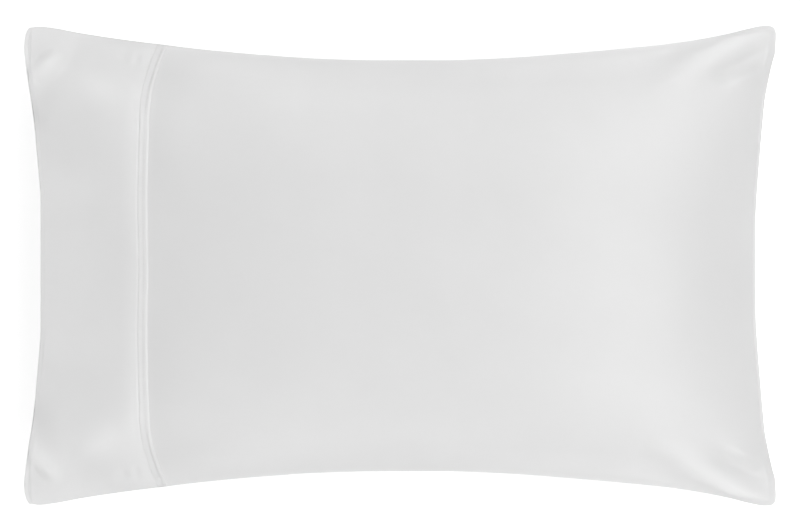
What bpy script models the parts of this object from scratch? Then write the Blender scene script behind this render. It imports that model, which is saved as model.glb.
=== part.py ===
"""A pillowcase with the pillow in it, lying on its back.

The case is one piece of cloth, folded and sewn round a pillow.  Its -X end is open and has a deep hem, set off from the
body by a narrow stitched-down tuck that runs right round the case.  The long sides and the +X end are plain seams whose
allowances lie inside.  Case and filling are one closed solid: a full crown above, a flatter one below that rests on the
ground, long sides and ends drawn in between four soft ears, the ears' creases, the tuck, and a shallow mouth between the
two hems at the open end.

X runs along the case, from the open end at -X to the sewn end at +X.  Y runs across it and Z is up.  The origin is at
the middle of the footprint, on the ground.
"""

import math

import bmesh
import bpy
import numpy as np

MM = 0.001

# Driving sizes, millimetres
SIDE_Z = 78.0  # height of the long side seams at mid length
CROWN_UP = 97.0  # crown above the side seams
CROWN_DOWN = 90.0  # free crown below them, before the ground flattens it
GROUND_BLEND = 2.5  # half height over which the underside rolls onto the ground
CROWN_AT = 0.48  # where along the length the crown is highest
OPEN_END_POWER = 2.8  # how fast the crown falls to the open end
SEWN_END_POWER, SEWN_END_ROOT = 2.6, 0.75  # roundness of the sewn end
CROSS_POWER, CROSS_ROOT = 2.3, 0.72  # roundness of a cross-section
END_REACH = 0.36  # share of the length over which an end's edge height fades out
EAR_REACH, EAR_FLATTEN = 62.0, 0.42  # the filling thins out toward each corner
HEM_LIP, HEM_LIP_SOFT = 11.0, 5.0  # how far from the hem's corners the filling stays, and how softly it starts there
EAR_DROOP = (203.0, 22.0, 5.0, 17.0)  # the sewn end droops at its corners: at which y, over what length, how deep, how far in

HEM_CORNER_Z, HEM_TOP_Z, HEM_LOW_Z, HEM_POWER = 37.0, 88.0, 71.0, 3.0  # heights of the two hem edges
SEWN_CORNER_Z, SEWN_MID_Z, SEWN_POWER = 47.0, 79.0, 2.8  # height of the sewn end's seam
EDGE_THICK = 2.4  # the layers' thickness where the faces meet
EDGE_ROUND = 0.6  # how far that edge swells outward
HEM_THICK = 2.5  # each hem at the mouth
HEM_NOSE = 0.8  # roundness of a hem's folded edge
MOUTH_DEPTH = 34.0  # the mouth's depth over most of its width
MOUTH_END_DEPTH = 10.0  # and at its two ends
MOUTH_ROWS_CLOSED = 8  # rows at each side where the hems lie closed
MOUTH_CLOSES, MOUTH_POWER = 0.84, 1.2  # share of the half width where the hems touch, and how roundly they close to it

# Half the width between the two long seams, at stations along the length
HALF_WIDTH = (
    # x, half_width
    (-371.3, 236.5),
    (-369.3, 238.6),
    (-363.3, 239.7),
    (-351.3, 238.5),
    (-319.3, 232.6),
    (-279.3, 226.4),
    (-239.3, 221.2),
    (-199.3, 216.3),
    (-139.3, 210.8),
    (-79.3, 206.8),
    (-19.3, 205.3),
    (40.7, 205.3),
    (100.7, 207.3),
    (160.7, 211.6),
    (220.7, 216.9),
    (260.7, 220.9),
    (300.7, 226.7),
    (330.7, 232.7),
    (350.7, 237.8),
    (364.7, 240.2),
    (370.7, 239.9),
    (374.0, 238.4),
)
# The open end's hem edge, at distances from the middle line
HEM_EDGE = (
    # y, x
    (0.0, -358.3),
    (65.0, -358.4),
    (85.0, -359.8),
    (105.0, -361.6),
    (125.0, -363.6),
    (145.0, -365.8),
    (165.0, -368.9),
    (185.0, -372.4),
    (205.0, -374.8),
    (220.0, -376.2),
    (227.0, -375.9),
    (232.0, -374.7),
    (235.0, -372.9),
    (236.5, -371.4),
)
# The sewn end's seam
SEWN_EDGE = (
    # y, x
    (0.0, 354.3),
    (45.0, 354.5),
    (65.0, 355.4),
    (85.0, 356.8),
    (105.0, 358.4),
    (125.0, 360.1),
    (145.0, 361.9),
    (165.0, 364.0),
    (185.0, 367.9),
    (205.0, 372.6),
    (213.0, 374.9),
    (224.0, 375.7),
    (232.0, 376.0),
    (236.0, 375.5),
    (238.0, 374.2),
)
# The tuck's folded edge, on the body's side of it
TUCK_EDGE = (
    # y, x
    (0.0, -251.9),
    (70.0, -253.1),
    (115.0, -252.6),
    (145.0, -251.9),
    (165.0, -250.5),
    (180.0, -248.2),
    (195.0, -243.9),
    (208.0, -239.4),
    (222.0, -232.9),
)
# The upper hem is set back from the lower one beside the corners
HEM_SET_BACK = (
    # y, set_back
    (0.0, 0.0),
    (176.0, 0.0),
    (190.0, 1.9),
    (203.0, 3.5),
    (216.0, 4.2),
    (240.0, 4.3),
)
# The tuck in section: distance from its folded edge and how far it stands up there
TUCK_SECTION = (
    # along, rise
    (-11.5, 0.0),
    (-9.0, 1.1),
    (-0.8, 1.8),
    (0.5, 0.0),
)
# The tuck draws the case in: a long shallow valley across the faces, and its depth at distances from the middle line
VALLEY = (
    # along, share
    (-76.0, 0.0),
    (-52.0, -0.02),
    (-34.0, 0.16),
    (-22.0, 0.45),
    (-12.0, 0.85),
    (-4.0, 1.0),
    (2.0, 1.0),
    (14.0, 0.82),
    (30.0, 0.45),
    (50.0, 0.15),
    (78.0, 0.0),
)
VALLEY_DEPTH = (
    # y, depth
    (0.0, 1.4),
    (60.0, 1.8),
    (110.0, 3.2),
    (150.0, 3.8),
    (185.0, 3.0),
    (222.0, 1.4),
)
# Soft ridges (+) and troughs (-) of the upper face on the +Y side, each along an arc through start, middle and end.
# The -Y side has them too, and the underside has them at UNDER_SHARE of their height.
CREASES = (
    # start_x, start_y, middle_x, middle_y, end_x, end_y, half_width, rise
    (238.0, 172.0, 313.0, 213.0, 384.0, 252.0, 14.5, 6.9),  # ridge down the sewn ear
    (308.0, 187.0, 339.0, 202.0, 370.0, 221.0, 8.5, -4.5),  # trough beside it
    (322.0, 184.0, 345.0, 189.0, 366.0, 194.0, 9.0, 2.8),  # lump past the trough
    (286.0, 217.0, 306.0, 221.0, 328.0, 229.0, 5.5, -1.8),  # hollow along the long seam
    (-373.0, 199.0, -360.0, 209.5, -345.0, 219.0, 5.0, -2.0),  # fold across the hem's corner
    (-370.0, 187.0, -354.5, 202.0, -338.0, 217.0, 11.5, 4.6),  # lump beside that fold
    (-374.0, 172.0, -371.0, 154.0, -367.5, 136.0, 9.0, -2.5),  # hem drawn down below the lump
    (-344.0, 200.0, -306.0, 178.0, -262.0, 172.0, 17.0, 2.7),  # long soft ridge of the slack cuff
    (-352.0, 150.0, -310.0, 140.0, -268.0, 136.0, 20.0, -2.0),  # dip past that ridge
)
UNDER_SHARE = 0.7

CUFF_COLUMNS, BODY_COLUMNS, ROWS = 9, 38, 36


def curve(rows, level_start=False):
    """A smooth curve through (station, value) rows that never overshoots them."""
    at = np.array([r[0] for r in rows], float)
    value = np.array([r[1] for r in rows], float)
    step = np.diff(at)
    slope = np.diff(value) / step
    tangent = np.zeros_like(value)
    for k in range(1, len(at) - 1):
        if slope[k - 1] * slope[k] > 0:
            a, b = 2 * step[k] + step[k - 1], step[k] + 2 * step[k - 1]
            tangent[k] = (a + b) / (a / slope[k - 1] + b / slope[k])
    tangent[0] = 0.0 if level_start else slope[0]
    tangent[-1] = slope[-1]

    def read(where):
        where = np.clip(np.asarray(where, float), at[0], at[-1])
        k = np.clip(np.searchsorted(at, where) - 1, 0, len(step) - 1)
        t = (where - at[k]) / step[k]
        return (
            (1 + 2 * t) * (1 - t) ** 2 * value[k]
            + t * (1 - t) ** 2 * step[k] * tangent[k]
            + t * t * (3 - 2 * t) * value[k + 1]
            + t * t * (t - 1) * step[k] * tangent[k + 1]
        )

    return read


half_width = curve(HALF_WIDTH)
hem_edge = curve(HEM_EDGE, True)
sewn_edge = curve(SEWN_EDGE, True)
tuck_edge = curve(TUCK_EDGE, True)
hem_set_back = curve(HEM_SET_BACK, True)
valley = curve(VALLEY, True)
valley_depth = curve(VALLEY_DEPTH, True)


def edge_x(edge, v):
    """Where a line across the case, given by distance from the middle, meets the row at share v of the half width."""
    x = edge(np.abs(v) * 236.5)
    for _ in range(5):
        x = edge(np.abs(v) * half_width(x))
    return x


def column_x(columns, v, set_back):
    """Plan x of every column, a row for each, on the rows v."""
    hem, tuck, sewn = edge_x(hem_edge, v) + set_back, edge_x(tuck_edge, v), edge_x(sewn_edge, v)
    first, last = tuck + TUCK_SECTION[0][0], tuck + TUCK_SECTION[-1][0]
    lines = []
    for strip, place in columns:
        if strip == "hem":
            lines.append(hem + (first - hem) * place)
        elif strip == "tuck":
            lines.append(tuck + place)
        else:
            lines.append(last + (sewn - last) * place)
    return np.array(lines)


def fade(share):
    return np.clip(1 - share / END_REACH, 0, 1) ** 2


def past_hem_corner(g, v, length):
    """The share of the length, counted from where the filling starts: near the corners the hem lies flat and empty."""
    corner = np.clip((np.abs(v) - 0.60) / 0.20, 0, 1)
    lip = HEM_LIP * corner * corner * (3 - 2 * corner)

    def inset(d):
        return ((d - lip) + np.sqrt((d - lip) ** 2 + HEM_LIP_SOFT**2)) / 2

    return g + ((inset(g * length) - inset(0.0)) / length - g) * fade(g)


def ear_droop(x, y, v):
    """How far the sewn end hangs lower at its corners."""
    at, over, deep, wide = EAR_DROOP
    inset = edge_x(sewn_edge, v) - x
    return deep * np.exp(-(((np.abs(y) - at) / over) ** 2)) * np.exp(-((inset / wide) ** 2))


def edge_height(g, v, hem_z):
    """Height of the surface on which the seams and the hem edges lie."""
    open_end = HEM_CORNER_Z + (hem_z - HEM_CORNER_Z) * (1 - np.abs(v) ** HEM_POWER)
    sewn_end = SEWN_CORNER_Z + (SEWN_MID_Z - SEWN_CORNER_Z) * (1 - np.abs(v) ** SEWN_POWER)
    return SIDE_Z + (open_end - SIDE_Z) * fade(g) + (sewn_end - SIDE_Z) * fade(1 - g)


def crown(x, y, g, v, length):
    """Share of the full crown, 0 on the seams and 1 at the top."""
    near = np.clip(1 - past_hem_corner(g, v, length) / CROWN_AT, 0, 1)
    far = np.clip((g - CROWN_AT) / (1 - CROWN_AT), 0, 1)
    along = np.where(g < CROWN_AT, 1 - near**OPEN_END_POWER, np.clip(1 - far**SEWN_END_POWER, 0, 1) ** SEWN_END_ROOT)
    across = np.clip(1 - np.abs(v) ** CROSS_POWER, 0, 1) ** CROSS_ROOT
    to_corner = np.hypot(np.minimum(370 - x, x + 370), 238 - np.abs(y))
    ear = 1 - EAR_FLATTEN * np.exp(-((to_corner / EAR_REACH) ** 2))
    return along * across * ear


def crease_rise(x, y):
    """How far the ears' creases stand up at a plan position."""
    total = np.zeros_like(x)
    for start_x, start_y, middle_x, middle_y, end_x, end_y, width, rise in CREASES:
        best = np.full_like(x, 1e9)
        where = np.zeros_like(x)
        for t in np.linspace(0, 1, 25):
            # an arc that passes through all three points
            ax = start_x * (1 - t) * (1 - 2 * t) + middle_x * 4 * t * (1 - t) + end_x * t * (2 * t - 1)
            ay = start_y * (1 - t) * (1 - 2 * t) + middle_y * 4 * t * (1 - t) + end_y * t * (2 * t - 1)
            d = np.hypot(x - ax, np.abs(y) - ay)
            nearer = d < best
            best = np.where(nearer, d, best)
            where = np.where(nearer, t, where)
        total += rise * np.sin(np.pi * np.clip(where, 0.08, 0.92)) * np.exp(-((best / width) ** 2))
    return total


def tuck_rise(x, v):
    along = x - edge_x(tuck_edge, v)
    tuck = np.interp(along, [r[0] for r in TUCK_SECTION], [r[1] for r in TUCK_SECTION])
    return tuck - valley(along) * valley_depth(np.abs(v) * half_width(x))


def face_points(columns, rows, upper):
    """The upper or lower face as a grid of points, a row of it for each column."""
    v = np.array(rows)
    x = column_x(columns, v, hem_set_back(np.abs(v) * 237.0) if upper else 0.0)
    v = np.broadcast_to(v, x.shape)
    y = v * half_width(x)
    left, right = edge_x(hem_edge, v), edge_x(sewn_edge, v)
    g = np.clip((x - left) / (right - left), 0, 1)
    full = crown(x, y, g, v, right - left)
    filled = past_hem_corner(g, v, right - left)
    # toward the corners the two hems come together sooner than the edges' own curve brings them
    apart = (HEM_TOP_Z - HEM_LOW_Z) * fade(g)
    shut = np.clip(1 - (np.abs(v) / MOUTH_CLOSES) ** HEM_POWER, 0, 1) ** MOUTH_POWER - (1 - np.abs(v) ** HEM_POWER)
    if upper:
        z = edge_height(filled, v, HEM_TOP_Z) + EDGE_THICK / 2 + CROWN_UP * full + 0.5 * apart * shut
    else:
        z = edge_height(filled, v, HEM_LOW_Z) - EDGE_THICK / 2 - CROWN_DOWN * full - 0.5 * apart * shut
    # creases and tuck stand up square to the face, and die away on its edges
    point = np.stack([x, y, z - ear_droop(x, y, v)], -1)
    square = np.cross(np.gradient(point, axis=0), np.gradient(point, axis=1))
    square /= np.linalg.norm(square, axis=-1, keepdims=True) * (1 if upper else -1)
    inside = np.clip((1 - np.abs(v)) / 0.03, 0, 1) * np.clip((1 - g) / 0.012, 0, 1) * np.clip(g / 0.012, 0, 1)
    rise = crease_rise(x, y) * inside * (1 if upper else UNDER_SHARE)
    rise += tuck_rise(x, v) * (0.3 + 0.7 * np.clip((1 - np.abs(v)) / 0.02, 0, 1))
    point += square * rise[..., None]
    if not upper:
        z, b = point[..., 2], GROUND_BLEND
        point[..., 2] = np.where(z > 2 * b, z, np.clip(z + 2 * b, 0, None) ** 2 / (8 * b))
    return point


def lay_columns():
    """The columns, from the hem to the sewn end: which strip each is on, and its place in that strip."""
    hem = [("hem", k / CUFF_COLUMNS) for k in range(CUFF_COLUMNS)]
    tuck = [("tuck", along) for along, _ in TUCK_SECTION]
    # closer together toward the sewn end, where the face turns down
    steps = [k / BODY_COLUMNS for k in range(1, BODY_COLUMNS + 1)]
    body = [("body", 0.45 * s + 0.55 * math.sin(math.pi / 2 * s)) for s in steps]
    return hem + tuck + body


def make_case():
    columns = lay_columns()
    rows = [math.sin(math.pi / 2 * (-1 + 2 * j / ROWS)) for j in range(ROWS + 1)]
    n, m, a = len(columns) - 1, ROWS, MOUTH_ROWS_CLOSED
    bm = bmesh.new()

    def net(upper):
        return [[bm.verts.new(p) for p in line] for line in face_points(columns, rows, upper) * MM]

    top, low = net(True), net(False)
    for i in range(n):
        for j in range(m):
            bm.faces.new((top[i][j], top[i + 1][j], top[i + 1][j + 1], top[i][j + 1]))
            bm.faces.new((low[i][j], low[i][j + 1], low[i + 1][j + 1], low[i + 1][j]))

    # the seams: a middle line between the two faces' edges, swelling a little outward
    def middle(i, j, out_x, out_y):
        c = (top[i][j].co + low[i][j].co) / 2
        x = min(top[i][j].co.x, low[i][j].co.x) if i == 0 else c.x
        return bm.verts.new((x + out_x * EDGE_ROUND * MM, c.y + out_y * EDGE_ROUND * MM, c.z))

    def out(i, j):
        ox = -1.0 if i == 0 else 1.0 if i == n else 0.0
        oy = -1.0 if j == 0 else 1.0 if j == m else 0.0
        size = math.hypot(ox, oy) or 1.0
        return ox / size, oy / size

    ring = [(i, 0) for i in range(n)] + [(n, j) for j in range(m)] + [(i, m) for i in range(n, 0, -1)]
    ring += [(0, j) for j in range(m, 0, -1)]
    seam = {}
    for i, j in ring:
        if i == 0 and a <= j <= m - a:
            continue
        seam[i, j] = middle(i, j, *out(i, j))
    for k, (i, j) in enumerate(ring):
        p, q = ring[k - 1], (i, j)
        if p in seam and q in seam:
            bm.faces.new((top[q[0]][q[1]], top[p[0]][p[1]], seam[p], seam[q]))
            bm.faces.new((low[p[0]][p[1]], low[q[0]][q[1]], seam[q], seam[p]))

    # the mouth: each row is a path in from the upper hem's edge and back to the lower hem's
    def mouth_row(j):
        t, b = top[0][j].co / MM, low[0][j].co / MM
        gap = t.z - b.z
        thick = min(HEM_THICK, 0.3 * gap)
        reach = 1 - abs(rows[j] / rows[a]) ** 6
        depth = MOUTH_END_DEPTH + (MOUTH_DEPTH - MOUTH_END_DEPTH) * reach
        mid, half = (t.z + b.z) / 2, gap / 2 - thick
        path = [
            (t.x - HEM_NOSE, t.z - thick / 2),
            (t.x, t.z - thick),
            (t.x + 0.72 * depth, mid + 0.97 * half),
            (t.x + 0.94 * depth, mid + 0.62 * half),
            (t.x + depth, mid),
            (t.x + 0.94 * depth, mid - 0.62 * half),
            (t.x + 0.72 * depth, mid - 0.97 * half),
            (b.x, b.z + thick),
            (b.x - HEM_NOSE, b.z + thick / 2),
        ]
        return [top[0][j]] + [bm.verts.new((x * MM, t.y * MM, z * MM)) for x, z in path] + [low[0][j]]

    paths = [mouth_row(j) for j in range(a, m - a + 1)]
    for one, two in zip(paths, paths[1:]):
        for k in range(len(one) - 1):
            bm.faces.new((one[k], two[k], two[k + 1], one[k + 1]))
    # where the hems close, the side of the mouth and the folds of the two hems meet the seam's middle line
    for path, j, turn in ((paths[0], a - 1, 1), (paths[-1], m - a + 1, -1)):
        hub, first = seam[0, j], path
        wall = first[2:9]
        outer = [first[0], first[1], first[2], first[8], first[9], first[10]]
        loop = [top[0][j]] + outer + [low[0][j]]
        for p, q in zip(loop, loop[1:]):
            bm.faces.new((hub, p, q) if turn > 0 else (hub, q, p))
        bm.faces.new(wall if turn > 0 else wall[::-1])

    bmesh.ops.recalc_face_normals(bm, faces=bm.faces)
    mesh = bpy.data.meshes.new("pillowcase")
    bm.to_mesh(mesh)
    bm.free()
    mesh.shade_smooth()
    mesh.set_sharp_from_angle(angle=math.radians(50))
    case = bpy.data.objects.new("pillowcase", mesh)
    bpy.context.scene.collection.objects.link(case)
    return case


def white_sateen():
    cloth = bpy.data.materials.new("white_sateen")
    cloth.use_nodes = True
    finish = cloth.node_tree.nodes["Principled BSDF"]
    finish.inputs["Base Color"].default_value = (0.80, 0.80, 0.80, 1.0)
    finish.inputs["Roughness"].default_value = 0.5
    finish.inputs["Metallic"].default_value = 0.0
    return cloth


def main():
    for thing in list(bpy.data.objects):
        bpy.data.objects.remove(thing, do_unlink=True)
    case = make_case()
    case.data.materials.append(white_sateen())


main()
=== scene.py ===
import math

import bpy
import numpy as np
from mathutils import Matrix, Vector


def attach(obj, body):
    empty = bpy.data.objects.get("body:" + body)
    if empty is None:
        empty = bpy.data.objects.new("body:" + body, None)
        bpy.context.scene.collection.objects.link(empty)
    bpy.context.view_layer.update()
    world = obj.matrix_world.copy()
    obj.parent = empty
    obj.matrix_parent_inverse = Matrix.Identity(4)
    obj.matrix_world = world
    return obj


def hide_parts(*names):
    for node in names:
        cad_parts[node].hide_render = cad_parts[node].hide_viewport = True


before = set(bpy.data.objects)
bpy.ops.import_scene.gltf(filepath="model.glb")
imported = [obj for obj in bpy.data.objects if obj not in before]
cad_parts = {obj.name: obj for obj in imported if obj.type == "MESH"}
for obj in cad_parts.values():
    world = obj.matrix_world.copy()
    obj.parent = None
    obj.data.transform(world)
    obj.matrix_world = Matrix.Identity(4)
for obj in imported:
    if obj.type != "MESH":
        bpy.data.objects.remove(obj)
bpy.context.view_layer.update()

# ---------------------------------------------------------------------------------------------------------------------
# Sizes, millimetres, as the CAD solid has them.  X runs from the open hemmed end (-X) to the sewn end (+X).
# ---------------------------------------------------------------------------------------------------------------------
MM = 0.001
SIDE_Z = 78.0
CROWN_UP = 97.0
CROWN_DOWN = 90.0
GROUND_BLEND = 2.5
CROWN_AT = 0.48
OPEN_END_POWER = 2.8
SEWN_END_POWER, SEWN_END_ROOT = 2.6, 0.75
CROSS_POWER, CROSS_ROOT = 2.3, 0.72
END_REACH = 0.36
EAR_REACH, EAR_FLATTEN = 62.0, 0.42
HEM_CORNER_Z, HEM_TOP_Z, HEM_LOW_Z, HEM_POWER = 37.0, 88.0, 71.0, 3.0
SEWN_CORNER_Z, SEWN_MID_Z, SEWN_POWER = 47.0, 79.0, 2.8
EDGE_THICK = 2.4
SIDE_LIP, SEWN_LIP, LIP_SOFT = 1.2, 3.0, 1.2  # the flat rim that the seam allowance makes, and how softly the case rises from it
HEM_LIP, HEM_LIP_SOFT = 11.0, 5.0  # the same where the filling doesn't reach into the hem's corners
HEM_THICK = 2.5
MOUTH_DEPTH = 34.0
MOUTH_CLOSES, MOUTH_POWER = 0.84, 1.2  # the hems have come together here, as shares of the half width, and how roundly
MOUTH_FULL, MOUTH_SHUT = 0.60, 0.745  # the mouth is full depth up to the first and shut from the second
UNDER_SHARE = 0.7

HALF_WIDTH = (
    # x, half_width
    (-372.0, 236.7), (-369.8, 238.7), (-363.3, 239.7), (-351.3, 238.5), (-319.3, 232.6), (-279.3, 226.4),
    (-239.3, 221.2), (-199.3, 216.3), (-139.3, 210.8), (-79.3, 206.8), (-19.3, 205.3), (40.7, 205.3),
    (100.7, 207.3), (160.7, 211.6), (220.7, 216.9), (260.7, 220.9), (300.7, 226.7), (330.7, 232.7),
    (350.7, 237.8), (364.7, 240.2), (370.7, 239.9), (374.0, 238.4),
)
HEM_EDGE = (
    # y, x
    (0.0, -358.3), (65.0, -358.4), (85.0, -359.8), (105.0, -361.6), (125.0, -363.6), (145.0, -365.8),
    (165.0, -368.9), (185.0, -372.5), (205.0, -375.4), (220.0, -376.9), (227.0, -376.6), (232.0, -375.4),
    (235.0, -373.6), (236.5, -372.0),
)
SEWN_EDGE = (
    # y, x
    (0.0, 354.3), (45.0, 354.5), (65.0, 355.4), (85.0, 356.8), (105.0, 358.4), (125.0, 360.1), (145.0, 361.9),
    (165.0, 364.0), (185.0, 367.9), (205.0, 372.6), (213.0, 374.9), (224.0, 375.7), (232.0, 376.0),
    (236.0, 375.5), (238.0, 374.2),
)
TUCK_EDGE = (
    # y, x
    (0.0, -251.9), (70.0, -253.1), (115.0, -252.6), (145.0, -251.9), (165.0, -250.5), (180.0, -248.2),
    (195.0, -243.9), (208.0, -239.4), (222.0, -232.9),
)
HEM_SET_BACK = (
    # y, set_back
    (0.0, 0.0), (176.0, 0.0), (190.0, 1.9), (203.0, 3.5), (216.0, 4.2), (240.0, 4.3),
)
# Soft ridges and hollows of the upper face, on both sides of the middle line
CREASES = (
    # start_x, start_y, middle_x, middle_y, end_x, end_y, half_width, rise
    # the ear at the sewn end: a ridge into the corner, a trough and a lump under it, hollows over it by the long seam
    (238.0, 172.0, 313.0, 213.0, 384.0, 252.0, 14.5, 6.9),
    (308.0, 187.0, 339.0, 202.0, 370.0, 221.0, 8.5, -4.5),
    (322.0, 184.0, 345.0, 189.0, 366.0, 194.0, 9.0, 2.8),
    (286.0, 217.0, 306.0, 221.0, 328.0, 229.0, 4.5, -1.8),
    (240.0, 208.0, 268.0, 212.0, 292.0, 217.0, 5.0, -0.8),
    # the cuff's corner: a fold running in from the hem and a lump under it
    (-373.0, 199.0, -360.0, 209.5, -345.0, 219.0, 4.5, -2.0),
    (-370.0, 187.0, -354.5, 202.0, -338.0, 217.0, 11.5, 4.6),
    # the slack cuff: a long soft ridge from the lump towards the tuck, and the dips under and beyond it
    (-344.0, 200.0, -306.0, 178.0, -262.0, 172.0, 17.0, 2.7),
    (-352.0, 150.0, -310.0, 140.0, -268.0, 136.0, 20.0, -2.0),
    (-352.0, 60.0, -346.0, 90.0, -336.0, 112.0, 17.0, 1.3),
    (-306.0, 46.0, -298.0, 76.0, -292.0, 104.0, 15.0, -1.6),
    (-340.0, -20.0, -326.0, 6.0, -338.0, 34.0, 15.0, -0.8),
    (-279.0, 203.0, -277.0, 209.0, -276.0, 216.0, 5.0, -1.4),
    (-266.0, 200.0, -264.0, 207.0, -262.0, 215.0, 3.5, -1.1),
)
# Where folds gather layers of cloth, which shows whiter there: partly the gathered cloth, partly a painted highlight on
# the lit corner lump, the cuff ridge and the ear ridge
GATHERED_AND_LIT = (
    # start_x, start_y, middle_x, middle_y, end_x, end_y, half_width, share
    (-386.0, 177.0, -360.0, 197.0, -336.0, 219.0, 12.0, 1.5),
    (-348.0, 193.0, -312.0, 178.0, -268.0, 168.0, 18.0, 0.80),
    (262.0, 180.0, 317.0, 209.0, 378.0, 246.0, 11.0, 0.45),
)
# The long seams' allowances back the cloth beside them, and painted light whitens the steep long sides there: how much
# of it, and how far in it reaches
RIM_LAYERS_AND_LIGHT, RIM_WIDE = 1.05, 30.0
# How strongly the rim is whitened along the case, partly by its allowance and partly by painted light: least where the
# tuck crosses, most towards the sewn end
RIM_LAYERS_AND_LIGHT_ALONG = (
    # x, share
    (-376.0, 1.0), (-320.0, 0.75), (-275.0, 0.3), (-225.0, 0.4), (-150.0, 0.9), (0.0, 1.0), (110.0, 1.4), (200.0, 1.6),
    (290.0, 1.5), (345.0, 1.0), (378.0, 0.9),
)
# The cuff is a hem of two layers, which lie apart over the middle of the filling and together towards the sides; its
# whitening across is partly that doubled cloth, partly painted light in uneven bands across the cuff
CUFF_LAYERS_AND_LIGHT = (
    # y, share
    (0.0, 0.16), (40.0, 0.20), (80.0, 0.42), (120.0, 0.36), (160.0, 0.44), (190.0, 0.32), (210.0, 0.10), (240.0, 0.0),
)
# At the sewn end's corners the edge droops: where, over what length, how deep and how far in
EAR_DROOP = (203.0, 22.0, 5.0, 17.0)
# Beside the corner the hem is drawn down along its edge: where, over what length, how deep and how far in
HEM_DROOP = (157.0, 20.0, 4.0, 6.5)
# The tuck draws the case in: a long shallow valley, at distances from its folded edge, as deep as VALLEY_DEPTH has it
VALLEY = (
    # along, share
    (-76.0, 0.0), (-52.0, -0.02), (-34.0, 0.16), (-22.0, 0.45), (-12.0, 0.85), (-4.0, 1.0), (2.0, 1.0), (14.0, 0.82),
    (30.0, 0.45), (50.0, 0.15), (78.0, 0.0),
)
VALLEY_DEPTH = (
    # y, depth
    (0.0, 1.4), (60.0, 1.8), (110.0, 3.2), (150.0, 3.8), (185.0, 3.0), (222.0, 1.4),
)
# How the cloth of the case lies beside the tuck: drawn down to the stitches, and pressed in past the fold
BESIDE_TUCK = (
    # along, rise
    (-60.0, 0.0), (-44.0, 0.20), (-30.0, 0.45), (-20.0, 0.35), (-14.5, 0.05), (-12.0, -0.05), (-11.2, -0.12),
    (-10.3, -0.42), (-9.3, -0.85), (-8.3, -1.1), (-6.0, -1.25), (0.0, -1.65), (1.2, -1.80), (4.0, -1.70),
    (10.0, -1.25), (20.0, -0.60), (34.0, -0.15), (50.0, 0.0),
)
# The tuck itself in section, a closed loop: along from its folded edge, and height above the plain form
TUCK_LOOP = (
    # along, height
    (-9.9, -0.95), (-9.6, -0.66), (-9.3, -0.62), (-8.9, -0.50), (-8.4, -0.30), (-7.9, -0.24), (-7.2, -0.32),
    (-6.3, -0.52), (-5.2, -0.66), (-4.6, -0.74), (-4.1, -0.80), (-3.6, -0.72), (-3.0, -0.50), (-2.3, -0.32),
    (-1.6, -0.32), (-0.9, -0.46), (-0.3, -0.74), (0.02, -1.02), (0.04, -1.28), (-0.25, -1.45), (-0.8, -1.55),
    (-1.5, -2.1), (-5.5, -2.0),
)
# Fine creases in the cuff's pressed hem and in the seam allowance: how far inside the edge, depth and half width
HEM_LINE = (2.7, -0.22, 0.45)
ALLOWANCE_LINE = (6.2, 0.40, 1.3)
STITCH_ROWS = (
    # along, height
    (-9.35, -0.50), (-4.1, -0.66),
)
STITCH_PITCH, STITCH_LENGTH, THREAD = 3.0, 2.35, 0.36

# The settling: its coarse grid, the pressure in it, its steps, the cloth to spare, the cells over which broad swelling is
# taken out again, the most that a point may move, millimetres, and how much of it each face takes
SETTLE_COLUMNS, SETTLE_ROWS = 100, 66
SETTLE_PRESSURE, SETTLE_FRAMES, SETTLE_SPARE = 4.0, 20, 0.005
SETTLE_BLUR, SETTLE_CAP = 6.0, 1.6
SETTLE_ABOVE, SETTLE_BELOW = 0.40, 0.9

# ---------------------------------------------------------------------------------------------------------------------
# Smooth curves and noise
# ---------------------------------------------------------------------------------------------------------------------
def curve(rows, level_start=False):
    """A smooth curve through (station, value) rows that never overshoots them."""
    at = np.array([r[0] for r in rows], float)
    value = np.array([r[1] for r in rows], float)
    step = np.diff(at)
    slope = np.diff(value) / step
    tangent = np.zeros_like(value)
    for k in range(1, len(at) - 1):
        if slope[k - 1] * slope[k] > 0:
            a, b = 2 * step[k] + step[k - 1], step[k] + 2 * step[k - 1]
            tangent[k] = (a + b) / (a / slope[k - 1] + b / slope[k])
    tangent[0] = 0.0 if level_start else slope[0]
    tangent[-1] = slope[-1]

    def read(where):
        where = np.clip(np.asarray(where, float), at[0], at[-1])
        k = np.clip(np.searchsorted(at, where) - 1, 0, len(step) - 1)
        t = (where - at[k]) / step[k]
        return (
            (1 + 2 * t) * (1 - t) ** 2 * value[k]
            + t * (1 - t) ** 2 * step[k] * tangent[k]
            + t * t * (3 - 2 * t) * value[k + 1]
            + t * t * (t - 1) * step[k] * tangent[k + 1]
        )

    return read


half_width = curve(HALF_WIDTH)
hem_edge = curve(HEM_EDGE, True)
sewn_edge = curve(SEWN_EDGE, True)
tuck_edge = curve(TUCK_EDGE, True)
hem_set_back = curve(HEM_SET_BACK, True)
beside_tuck = curve(BESIDE_TUCK, True)
valley = curve(VALLEY, True)
valley_depth = curve(VALLEY_DEPTH, True)
cuff_layers_and_light = curve(CUFF_LAYERS_AND_LIGHT, True)
rim_layers_and_light_along = curve(RIM_LAYERS_AND_LIGHT_ALONG, True)

LATTICE = np.random.default_rng(11).uniform(-1, 1, (64, 64, 8))


def smooth_noise(x, y, layer):
    """Value noise, smooth to its second derivative, about -1 to 1, one cell to a unit."""
    i, j = np.floor(x).astype(int), np.floor(y).astype(int)
    s, t = x - i, y - j
    s, t = s**3 * (s * (6 * s - 15) + 10), t**3 * (t * (6 * t - 15) + 10)
    def at(a, b):
        return LATTICE[(i + a) % 64, (j + b) % 64, layer]
    return (at(0, 0) * (1 - s) + at(1, 0) * s) * (1 - t) + (at(0, 1) * (1 - s) + at(1, 1) * s) * t


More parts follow.
